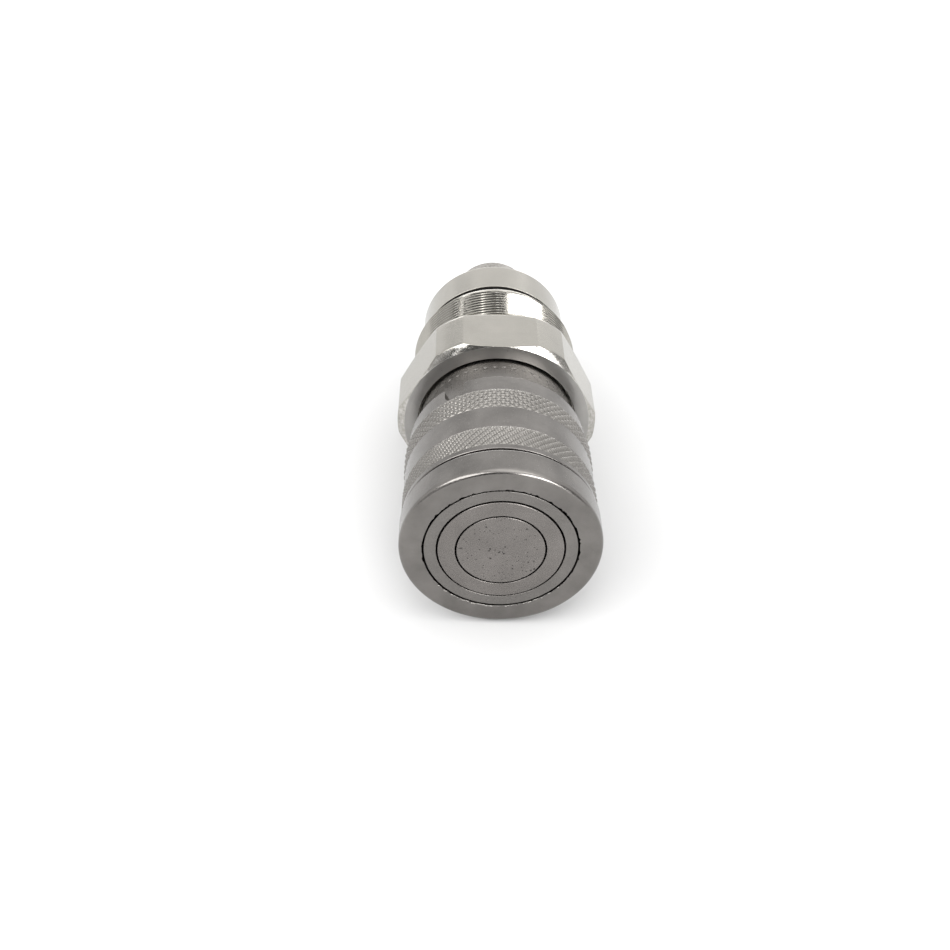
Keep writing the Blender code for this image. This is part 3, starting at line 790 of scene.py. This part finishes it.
def make_front_body():
    """Ball carrier, marking band and plug, with ball holes, lock pocket and peened dots."""
    bore_groove = BODY_BORE + 1.4
    joint_groove = PLUG_RADIUS - 1.4
    ring_groove = CARRIER_RADIUS - 0.77
    points = [
        (0.15, BODY_BORE, 0.12),
        (0.1, CARRIER_RADIUS, 0.12),
        (STOP_RING_Y - 0.25, CARRIER_RADIUS, 0.05),
        (STOP_RING_Y - 0.25, ring_groove, 0.1),
        (STOP_RING_Y + STOP_RING_WIDTH + 0.25, ring_groove, 0.1),
        (STOP_RING_Y + STOP_RING_WIDTH + 0.25, CARRIER_RADIUS, 0.05),
        (BAND_START, CARRIER_RADIUS, 0.3),
        (BAND_START, BAND_RADIUS, 0.3),
        (DOT_Y - 0.8, BAND_RADIUS),
        (DOT_Y + 0.8, BAND_RADIUS),
        (BAND_END, BAND_RADIUS, 0.1),
        (BAND_END, PLUG_RADIUS, 0.1),
        (JOINT_RING_Y - 0.95, PLUG_RADIUS, 0.08),
        (JOINT_RING_Y - 0.95, joint_groove, 0.12),
        (JOINT_RING_Y + 0.95, joint_groove, 0.12),
        (JOINT_RING_Y + 0.95, PLUG_RADIUS, 0.08),
        (PLUG_END, PLUG_RADIUS, 0.3),
        (PLUG_END, BODY_BORE, 0.3),
        (BORE_RING_Y + 2.0, BODY_BORE, 0.08),
        (BORE_RING_Y + 2.0, bore_groove, 0.12),
        (BORE_RING_Y - 0.8, bore_groove, 0.12),
        (BORE_RING_Y - 0.8, BODY_BORE, 0.08),
    ]
    outline = []
    for y, radius in divided(rounded(points, 3), 1.6):
        outline.append((y, radius))
        if abs(y - (DOT_Y - 0.8)) < 1e-6 and radius > BAND_RADIUS - 0.01:
            outline += [(DOT_Y - 0.8 + 0.08 * k, BAND_RADIUS) for k in range(1, 20)]
    ys, radii = np.array(outline).T
    columns = around(480)
    radii = np.repeat(radii[:, None], len(columns), 1)
    band = np.abs(radii[:, :1] - BAND_RADIUS) < 0.01
    radii = radii - np.where(band, peened_dots(ys, columns), 0.0)
    mesh = revolved_mesh("front_body_detail", ys, radii, columns)
    shade(mesh)
    body = new_object("front_body_detail", mesh, inner_steel)
    mesh.materials.append(band_steel)
    darker = band[:, 0] | ((ys < 0.2) & (radii[:, 0] < CARRIER_RADIUS))
    on_band = (darker & np.roll(darker, -1)).astype(np.int32)
    mesh.polygons.foreach_set("material_index", np.repeat(on_band, len(columns)))
    cutters = [
        drill(
            f"ball_hole_{index}",
            360.0 / BALL_COUNT * index,
            BALL_Y,
            BODY_BORE - 1,
            CARRIER_RADIUS + 1,
            BALL_RADIUS + 0.25,
        )
        for index in range(BALL_COUNT)
    ]
    cutters.append(
        drill(
            "lock_pocket",
            LOCK_BALL_ANGLE,
            LOCK_BALL_Y,
            LOCK_BALL_PITCH_RADIUS - LOCK_BALL_RADIUS - 0.2,
            BAND_RADIUS + 1,
            LOCK_BALL_RADIUS + 0.2,
        )
    )
    cut(body, cutters)
    place(body, "coupler_body", "satin_steel", "front_body")
    ring = round_ring("bore_o_ring_detail", BORE_RING_Y, BODY_BORE + 0.65, 0.6, rubber)
    place(ring, "coupler_body", "black_rubber", "bore_o_ring")
    ring = round_ring("body_joint_o_ring_detail", JOINT_RING_Y, PLUG_RADIUS - 0.55, 0.65, rubber)
    place(ring, "coupler_body", "black_rubber", "body_joint_o_ring")
    points = [
        (BORE_RING_Y + 0.85, BODY_BORE + 0.05, 0.1),
        (BORE_RING_Y + 0.85, bore_groove - 0.3, 0.1),
        (BORE_RING_Y + 1.65, bore_groove - 0.3, 0.1),
        (BORE_RING_Y + 1.65, BODY_BORE + 0.05, 0.1),
    ]
    backup = turned("bore_backup_ring_detail", points, plastic, 128)
    place(backup, "coupler_body", "backup_plastic", "bore_backup_ring")


def make_balls():
    """The eight locking balls and the ball of the sleeve lock."""
    for index in range(BALL_COUNT):
        node = f"locking_ball_{index + 1}"
        angle = 360.0 / BALL_COUNT * index
        made = ball(f"{node}_detail", angle, BALL_Y, BALL_PITCH_RADIUS, BALL_RADIUS, ball_chrome)
        place(made, "coupler_body", "ball_steel", node)
    made = ball(
        "sleeve_lock_ball_detail",
        LOCK_BALL_ANGLE,
        LOCK_BALL_Y,
        LOCK_BALL_PITCH_RADIUS,
        LOCK_BALL_RADIUS,
        ball_chrome,
    )
    place(made, "coupler_body", "ball_steel", "sleeve_lock_ball")


# ---------------------------------------------------------------- locking sleeve


def knurl_band(name, start, end, right_teeth, left_teeth, count, right_depth, left_depth):
    """A closed ring whose outside carries two crossed families of knurling.

    The rows are spaced so that a groove moves round by one column from each row to the next.
    """
    columns = around(count)
    slope = math.tan(math.radians(KNURL_HELIX))
    girth = TAU * KNURL_RADIUS
    margin = 0.06
    rows = int((end - start - 2 * margin) / (girth / count / slope)) + 1
    y = start + margin + np.arange(rows) * girth / count / slope
    turn = columns[None, :] / 360.0
    lead = slope * y[:, None] / girth
    right = np.abs(np.sin(math.pi * right_teeth * (turn - lead)))
    left = np.abs(np.sin(math.pi * left_teeth * (turn + lead)))
    sunk = right_depth * (1 - right**0.85) + left_depth * (1 - left**0.85)
    edge = np.clip(np.minimum(y - start, end - y) / 0.4, 0.0, 1.0)[:, None]
    ends = GRIP_RADIUS - 0.02
    outer = ends + (KNURL_RADIUS - sunk - ends) * edge
    inner = np.full(count, KNURL_INNER_RADIUS)
    low = np.full(count, ends - 0.05)
    ys = [np.full(count, start), np.full(count, start)]
    radii = [inner, low]
    for row in range(rows):
        ys.append(np.full(count, y[row]))
        radii.append(outer[row])
    ys += [np.full(count, end), np.full(count, end)]
    radii += [low, inner]
    mesh = revolved_mesh(name, ys, radii, columns)
    shade(mesh, 70)
    return new_object(name, mesh, knurl_steel)


def nicks(columns):
    """Small chips in the front edge of the sleeve's bore, in mm, at each angle."""
    random = np.random.default_rng(7)
    depth = np.zeros(len(columns))
    for _ in range(110):
        centre = random.uniform(0, 360)
        half = random.uniform(0.4, 2.2)
        deep = random.uniform(0.05, 0.28)
        away = np.abs((columns - centre + 180) % 360 - 180)
        depth = np.maximum(depth, deep * np.clip(1.2 - away / half, 0, 1))
    return depth


def notch_outline():
    """Slot with a round bottom and flared, rounded mouth."""
    half = NOTCH_WIDTH / 2
    flare = 1.0
    right = []
    for step in range(13):
        angle = math.radians(-90.0 + 90.0 * step / 12)
        right.append((half * math.cos(angle), NOTCH_BOTTOM + half + half * math.sin(angle)))
    for step in range(9):
        angle = math.radians(90.0 * step / 8)
        across = half + flare - flare * math.cos(angle)
        right.append((across, SLEEVE_END - flare + flare * math.sin(angle)))
    right.append((half + flare, SLEEVE_END + 1.5))
    return right + [(-x, y) for x, y in right[::-1] if x > 1e-6]


def make_locking_sleeve():
    """Shell with its rounded flange, groove, grip band and notched lip, and two knurled bands."""
    points = [
        (0.0, SLEEVE_BORE, 0.16),
        (0.0, FLANGE_RADIUS, 1.15),
        (FLANGE_END, FLANGE_RADIUS, 0.6),
        (FLANGE_END + 0.1, GROOVE_RADIUS, 0.08),
        (GROOVE_END, GROOVE_RADIUS, 0.08),
        (GROOVE_END, LAND_RADIUS, 0.32),
        (FRONT_KNURL[0] + 0.02, LAND_RADIUS, 0.05),
        (FRONT_KNURL[0] + 0.02, SHELL_RADIUS),
        (SLEEVE_JOINT, SHELL_RADIUS),
        (SLEEVE_JOINT, RELEASE_RADIUS),
        (1.0, RELEASE_RADIUS, 0.3),
        (1.0, SLEEVE_BORE, 0.1),
    ]
    outline = rounded(points, 8)
    outline += [(y, SLEEVE_BORE) for y in (0.69, 0.54, 0.39, 0.24)]
    ys, radii = np.array(outline).T
    columns = around(900)
    radii = np.repeat(radii[:, None], len(columns), 1)
    near_edge = np.clip(1 - np.abs(ys) / 0.5, 0, 1) * (radii[:, 0] < SLEEVE_BORE + 0.3)
    radii = radii + near_edge[:, None] * nicks(columns)[None, :]
    mesh = revolved_mesh("locking_sleeve_flange", ys, radii, columns)
    shade(mesh)
    flange = new_object("locking_sleeve_flange", mesh, sleeve_steel)
    place(flange, "locking_sleeve", "satin_steel", "locking_sleeve")
    points = [
        (SLEEVE_JOINT, RELEASE_RADIUS),
        (SLEEVE_JOINT, SHELL_RADIUS),
        (FRONT_KNURL[1] - 0.02, SHELL_RADIUS),
        (FRONT_KNURL[1] - 0.02, GRIP_RADIUS, 0.08),
        (REAR_KNURL[0] + 0.02, GRIP_RADIUS, 0.08),
        (REAR_KNURL[0] + 0.02, SHELL_RADIUS),
        (REAR_KNURL[1] - 0.02, SHELL_RADIUS),
        (REAR_KNURL[1] - 0.02, LIP_RADIUS),
        (SLEEVE_END, LIP_RADIUS, 0.2),
        (SLEEVE_END, SPRING_ROOM_RADIUS, 0.2),
        (SPRING_ROOM_START, SPRING_ROOM_RADIUS, 0.2),
        (SPRING_ROOM_START, SLEEVE_BORE, 0.15),
        (SPRING_ROOM_START - 1.0, SLEEVE_BORE, 0.2),
        (12.2, RELEASE_RADIUS, 0.2),
    ]
    outline = divided(rounded(points, 5), 1.5)
    mesh = revolved_mesh("locking_sleeve_shell", *np.array(outline).T, around(300))
    shade(mesh)
    sleeve = new_object("locking_sleeve_shell", mesh, sleeve_steel)
    cutters = [
        prism(f"notch_{number}", notch_outline(), angle, 15.5, 20.0)
        for number, angle in enumerate(NOTCH_ANGLES, 1)
    ]
    cut(sleeve, cutters)
    place(sleeve, "locking_sleeve", "satin_steel", "locking_sleeve")
    front = knurl_band("locking_sleeve_knurl_front", *FRONT_KNURL, 69, 138, 1104, 0.25, 0.16)
    rear = knurl_band("locking_sleeve_knurl_rear", *REAR_KNURL, 69, 69, 828, 0.24, 0.24)
    for band in (front, rear):
        place(band, "locking_sleeve", "satin_steel", "locking_sleeve")


def make_sleeve_spring():
    """Washer, locking spring and split stop ring."""
    points = [
        (WASHER_START, SLEEVE_BORE, 0.12),
        (WASHER_START, WASHER_RADIUS, 0.12),
        (WASHER_END, WASHER_RADIUS, 0.12),
        (WASHER_END, SLEEVE_BORE, 0.12),
    ]
    washer = turned("spring_seat_washer_detail", points, zinc, 144)
    place(washer, "spring_seat", "zinc_plate", "spring_seat_washer")
    spring = coil(
        "locking_spring_detail",
        LOCK_SPRING_START,
        LOCK_SPRING_END,
        LOCK_SPRING_RADIUS,
        SPRING_WIRE,
        LOCK_SPRING_TURNS,
        spring_wire,
    )
    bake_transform(spring)
    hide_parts("locking_spring")
    points = [
        (STOP_RING_Y, CARRIER_RADIUS - 0.5, 0.15),
        (STOP_RING_Y, CARRIER_RADIUS + 1.2, 0.15),
        (STOP_RING_Y + STOP_RING_WIDTH, CARRIER_RADIUS + 1.2, 0.15),
        (STOP_RING_Y + STOP_RING_WIDTH, CARRIER_RADIUS - 0.5, 0.15),
    ]
    stop = turned("sleeve_stop_ring_detail", points, spring_wire, 144)
    gap = [(-1.2, 3.0), (1.2, 3.0), (1.2, 9.0), (-1.2, 9.0)]
    split = prism("stop_split", gap, 180.0, 12.0, 18.0)
    cut(stop, [split], 0.12)
    place(stop, "coupler_body", "spring_steel", "sleeve_stop_ring")


# ---------------------------------------------------------------- hexagon body


def hex_columns(flat, corner, soft):
    """Column angles for a hexagon with turned corners, and the outline radius at each.

    The columns crowd round each edge between a flat and its corner. soft, in mm, rounds it.
    """
    edge = math.degrees(math.acos(min(1.0, flat / corner)))
    half = list(np.linspace(0.0, edge - 1.2, 24))
    half += [edge - 0.8, edge - 0.45, edge - 0.2, edge, edge + 0.2, edge + 0.45, edge + 0.8]
    half += list(np.linspace(edge + 1.4, 30.0, 8))
    sector = sorted({round(a, 4) for a in half} | {round(-a, 4) for a in half})[:-1]
    columns = np.array([60.0 * k + a for k in range(6) for a in sector])
    local = np.radians((columns + 30.0) % 60.0 - 30.0)
    radius = flat / np.cos(local)
    blend = soft * np.log1p(np.exp(-np.abs(radius - corner) / soft)) if soft > 0 else 0.0
    radius = np.minimum(radius, corner) - blend
    return columns, radius


def make_hex_body():
    """Hexagon with chamfered, turned corners, relief and the rolled panel thread."""
    columns, flat = hex_columns(HEX_FLAT, HEX_CORNER_RADIUS, 0.012)
    count = len(columns)
    ys = []
    radii = []
    groups = []

    def row(y, radius, group=0):
        """One more row. group picks its material: plain, rough chamfer, thread or front face."""
        ys.append(np.broadcast_to(np.asarray(y, float), count).copy())
        radii.append(np.broadcast_to(np.asarray(radius, float), count).copy())
        groups.append(group)

    slope = HEX_CHAMFER / (HEX_CORNER_RADIUS - HEX_FACE_RADIUS)
    drop = (flat - HEX_FACE_RADIUS) * slope
    row(HEX_START, BAND_RADIUS + 0.5, 3)
    row(HEX_START, HEX_FACE_RADIUS - 0.12, 3)
    row(HEX_START + 0.02, HEX_FACE_RADIUS, 1)
    row(HEX_START + drop * 0.35, HEX_FACE_RADIUS + (flat - HEX_FACE_RADIUS) * 0.35, 1)
    row(HEX_START + drop * 0.92, HEX_FACE_RADIUS + (flat - HEX_FACE_RADIUS) * 0.92)
    row(HEX_START + drop + 0.02, flat - 0.015)
    row(HEX_START + drop + 0.12, flat)
    row(HEX_START + drop + 0.8, flat)
    row((HEX_START + HEX_END) / 2, flat)
    row(HEX_END - drop - 0.8, flat)
    row(HEX_END - drop - 0.12, flat)
    row(HEX_END - drop - 0.02, flat - 0.015)
    row(HEX_END - drop * 0.92, HEX_FACE_RADIUS + (flat - HEX_FACE_RADIUS) * 0.92)
    row(HEX_END - 0.02, HEX_FACE_RADIUS)
    row(HEX_END, HEX_FACE_RADIUS - 0.12)
    row(HEX_END, SHANK_RADIUS + 0.1)
    row(HEX_END + 0.4, SHANK_RELIEF_RADIUS, 2)
    thread_start = HEX_END + 1.3
    row(thread_start, SHANK_RELIEF_RADIUS, 2)
    crest = SHANK_CREST_RADIUS
    tip_slope = (crest - SHANK_TIP_RADIUS) / (SHANK_TIP_END - SHANK_END)
    fine = np.arange(thread_start + 0.1, SHANK_TIP_END - 0.25, SHANK_PITCH / 12)
    turn = columns / 360.0
    for y in fine:
        phase = (y / SHANK_PITCH - turn) % 1.0
        tooth = np.clip((0.5 - np.abs(phase - 0.5)) * 2.85 - 0.2, 0.0, 1.0)
        lift = np.clip((y - thread_start - 0.1) / 0.7, 0.0, 1.0)
        full = SHANK_RELIEF_RADIUS + (crest - SHANK_RELIEF_RADIUS) * lift
        tip = crest - max(0.0, y - SHANK_END) * tip_slope
        outer = min(full, tip)
        base = min(SHANK_ROOT_RADIUS, outer)
        row(y, base + (outer - base) * tooth, 2)
    row(SHANK_TIP_END - 0.1, SHANK_TIP_RADIUS)
    row(SHANK_TIP_END, SHANK_TIP_RADIUS - 0.12)
    row(SHANK_TIP_END, SPIGOT_PLUG_RADIUS + 0.5)
    row(SHANK_TIP_END - 0.2, SPIGOT_PLUG_RADIUS + 0.3)
    row(SPIGOT_PLUG_START - 0.3, SPIGOT_PLUG_RADIUS + 0.3)
    row(SPIGOT_PLUG_START - 0.3, FLOW_BORE)
    row(SUPPORT_SEAT, FLOW_BORE)
    row(SUPPORT_SEAT, PLUG_RADIUS + 0.3)
    row(BAND_END + 0.3, PLUG_RADIUS + 0.3)
    row(BAND_END + 0.3, BAND_RADIUS + 0.4)
    row(HEX_START + 0.1, BAND_RADIUS + 0.4)
    mesh = revolved_mesh("hex_body_detail", ys, radii, columns)
    shade(mesh, 13)
    obj = new_object("hex_body_detail", mesh, zinc)
    for material in (zinc_rough, zinc_thread, zinc_face):
        mesh.materials.append(material)
    index = np.zeros(len(mesh.polygons), np.int32)
    index[: len(groups) * count] = np.repeat(groups, count)
    mesh.polygons.foreach_set("material_index", index)
    place(obj, "coupler_body", "zinc_plate", "hex_body")


# ---------------------------------------------------------------- rear spigot


def make_rear_spigot():
    """Collar, shoulder and nose with a threaded port, and the O-ring in front of the collar."""
    columns = around(256)
    outline = rounded(
        [
            (SPIGOT_PLUG_START, CHAMBER_RADIUS, 0.2),
            (SPIGOT_PLUG_START, SPIGOT_PLUG_RADIUS, 0.6),
            (COLLAR_START, SPIGOT_PLUG_RADIUS, 0.1),
            (COLLAR_START, COLLAR_RADIUS - 0.05, 0.12),
            (COLLAR_END, COLLAR_RADIUS, 0.25),
            (SHOULDER_END, SHOULDER_RADIUS, 0.3),
            (SHOULDER_END, NOSE_RADIUS, 0.5),
            (NOSE_END - 0.9, NOSE_RADIUS, 0.1),
            (NOSE_END, NOSE_RADIUS - 0.9, 0.15),
            (NOSE_END, PORT_RADIUS + 0.75, 0.05),
        ],
        5,
    )
    depths = [y for y, _ in outline]
    radii = [np.full(len(columns), radius) for _, radius in outline]
    turn = columns / 360.0
    for y in np.arange(NOSE_END - 0.8, PORT_THREAD_START, -PORT_PITCH / 12):
        phase = (y / PORT_PITCH - turn) % 1.0
        groove = np.clip((0.5 - np.abs(phase - 0.5)) * 2.6 - 0.15, 0.0, 1.0)
        fade = min(1.0, y - PORT_THREAD_START)
        depths.append(float(y))
        radii.append(PORT_RADIUS + 0.65 * groove * fade)
    for y, radius in (
        (PORT_THREAD_START - 0.2, PORT_RADIUS),
        (COLLAR_START + 7.0, PORT_RADIUS),
        (COLLAR_START + 2.0, CHAMBER_RADIUS),
    ):
        depths.append(y)
        radii.append(np.full(len(columns), radius))
    mesh = revolved_mesh("rear_spigot_detail", depths, radii, columns)
    shade(mesh, 35)
    obj = new_object("rear_spigot_detail", mesh, zinc)
    mesh.materials.append(zinc_dull)
    nose = np.minimum(depths, np.roll(depths, -1)) > SHOULDER_END - 0.01
    mesh.polygons.foreach_set("material_index", np.repeat(nose.astype(np.int32), len(columns)))
    place(obj, "coupler_body", "zinc_plate", "rear_spigot")
    middle = (SHANK_TIP_END + COLLAR_START) / 2
    ring = round_ring("spigot_o_ring_detail", middle, COLLAR_RADIUS - 1.4, 1.2, rubber)
    place(ring, "coupler_body", "black_rubber", "spigot_o_ring")


# ---------------------------------------------------------------- floor, light and camera

SKY_LEVEL = 1.3

# Azimuth from the front towards +X and elevation in degrees, half width, half height and edge
# softness as sines, and brightness.
SKY_PATCHES = (
    (-10.0, 20.0, 0.41, 0.29, 0.02, 0.16),
    (-58.0, 16.0, 0.4, 0.28, 0.02, 0.7),
    (-25.7, 18.0, 0.01, 0.16, 0.006, 4.5),
    (58.0, 14.0, 0.36, 0.26, 0.02, 0.5),
    (25.0, 17.5, 0.2, 0.2, 0.01, 11.0),
    (-50.0, 42.0, 0.42, 0.22, 0.03, 6.0),
    (36.0, 60.0, 0.3, 0.24, 0.05, 3.0),
    (0.0, 88.0, 0.28, 0.28, 0.06, 2.3),
    (-128.0, 8.0, 0.32, 0.16, 0.05, 1.15),
    (128.0, 8.0, 0.32, 0.16, 0.05, 1.15),
    (180.0, 7.0, 0.36, 0.14, 0.03, 5.0),
    (-152.0, 22.0, 0.12, 0.16, 0.05, 0.95),
)


def make_floor():
    """A plain pale floor under the lowest flat of the hexagon."""
    mesh = bpy.data.meshes.new("floor")
    size = 4.0
    level = cad_box[0].z - 0.00002
    corners = [(-size, -size), (size, -size), (size, size), (-size, size)]
    mesh.from_pydata([(x, y, level) for x, y in corners], [], [(0, 1, 2, 3)])
    n = Nodes("floor_white")
    position = n.add("ShaderNodeTexCoord").outputs["Object"]
    tint = n.mix(n.noise(position, 6.0, 2.0), (0.58, 0.58, 0.58, 1.0), (0.61, 0.61, 0.61, 1.0))
    n.link(tint, "Base Color")
    n.shader.inputs["Roughness"].default_value = 0.7
    n.shader.inputs["Specular IOR Level"].default_value = 0.1
    floor = new_object("floor", mesh, n.material)


def make_world():
    """A bright studio: soft boxes front left, front right and behind, and a dim gap in front.

    Each patch is a rectangle on the sky. The patches light the part and show in its
    reflections; behind the part the sky stays plain.
    """
    world = bpy.data.worlds.new("studio")
    bpy.context.scene.world = world
    world.use_nodes = True
    tree = world.node_tree
    direction = tree.nodes.new("ShaderNodeTexCoord").outputs["Generated"]

    def dot(vector):
        """How far the view direction points along this vector."""
        node = tree.nodes.new("ShaderNodeVectorMath")
        node.operation = "DOT_PRODUCT"
        tree.links.new(direction, node.inputs[0])
        node.inputs[1].default_value = vector
        return node.outputs["Value"]

    def within(value, half, soft):
        """1 inside the half width, 0 outside, with a soft edge."""
        size = tree.nodes.new("ShaderNodeMath")
        size.operation = "ABSOLUTE"
        tree.links.new(value, size.inputs[0])
        fade = tree.nodes.new("ShaderNodeMapRange")
        fade.interpolation_type = "SMOOTHSTEP"
        tree.links.new(size.outputs[0], fade.inputs["Value"])
        fade.inputs["From Min"].default_value = half - soft
        fade.inputs["From Max"].default_value = half + soft
        fade.inputs["To Min"].default_value = 1.0
        fade.inputs["To Max"].default_value = 0.0
        return fade.outputs["Result"]

    def times(first, second):
        """The product of two sockets."""
        node = tree.nodes.new("ShaderNodeMath")
        node.operation = "MULTIPLY"
        tree.links.new(first, node.inputs[0])
        tree.links.new(second, node.inputs[1])
        return node.outputs[0]

    total = None
    for azimuth, elevation, half_width, half_height, soft, level in SKY_PATCHES:
        a = math.radians(azimuth)
        e = math.radians(elevation)
        ahead = (math.sin(a) * math.cos(e), -math.cos(a) * math.cos(e), math.sin(e))
        across = (math.cos(a), math.sin(a), 0.0)
        upward = (-math.sin(a) * math.sin(e), math.cos(a) * math.sin(e), math.cos(e))
        facing = tree.nodes.new("ShaderNodeMath")
        facing.operation = "GREATER_THAN"
        tree.links.new(dot(ahead), facing.inputs[0])
        facing.inputs[1].default_value = 0.0
        share = times(within(dot(across), half_width, soft), within(dot(upward), half_height, soft))
        blend = tree.nodes.new("ShaderNodeMix")
        tree.links.new(times(share, facing.outputs[0]), blend.inputs[0])
        if total is None:
            blend.inputs[2].default_value = SKY_LEVEL
        else:
            tree.links.new(total, blend.inputs[2])
        blend.inputs[3].default_value = level
        total = blend.outputs[0]
    plain = tree.nodes.new("ShaderNodeMix")
    tree.links.new(tree.nodes.new("ShaderNodeLightPath").outputs["Is Camera Ray"], plain.inputs[0])
    tree.links.new(total, plain.inputs[2])
    plain.inputs[3].default_value = SKY_LEVEL
    background = tree.nodes["Background"]
    tree.links.new(plain.outputs[0], background.inputs["Strength"])
    background.inputs["Color"].default_value = (1.0, 1.0, 1.0, 1.0)


def make_lights():
    """A weak, very soft sun overhead that evens out the floor."""
    bpy.context.scene.view_settings.view_transform = "Standard"
    data = bpy.data.lights.new("soft_sun", "SUN")
    data.energy = 0.3
    data.angle = math.radians(60.0)
    sun = bpy.data.objects.new("soft_sun", data)
    bpy.context.scene.collection.objects.link(sun)
    sun.rotation_euler = (math.radians(-12.0), math.radians(10.0), 0.0)


def make_camera():
    """The main view, from the front and above, with the part turned 2.1 degrees on its axis."""
    data = bpy.data.cameras.new("view")
    data.sensor_width = 36.0
    data.lens = 41.68
    data.clip_start = 0.01
    obj = bpy.data.objects.new("view", data)
    bpy.context.scene.collection.objects.link(obj)
    aim = Euler((math.radians(50.41), 0.0, math.radians(-0.37))).to_matrix().to_4x4()
    roll = Matrix.Rotation(math.radians(-2.1), 4, "Y")
    obj.matrix_world = roll @ Matrix.Translation((-0.00589, -0.15142, 0.14393)) @ aim
    bpy.context.scene.camera = obj


make_valve_stem()
make_stem_support()
make_stem_nut()
make_seal_sleeve()
make_front_body()
make_balls()
make_locking_sleeve()
make_sleeve_spring()
make_hex_body()
make_rear_spigot()
make_floor()
make_world()
make_lights()
make_camera()

bpy.context.view_layer.update()
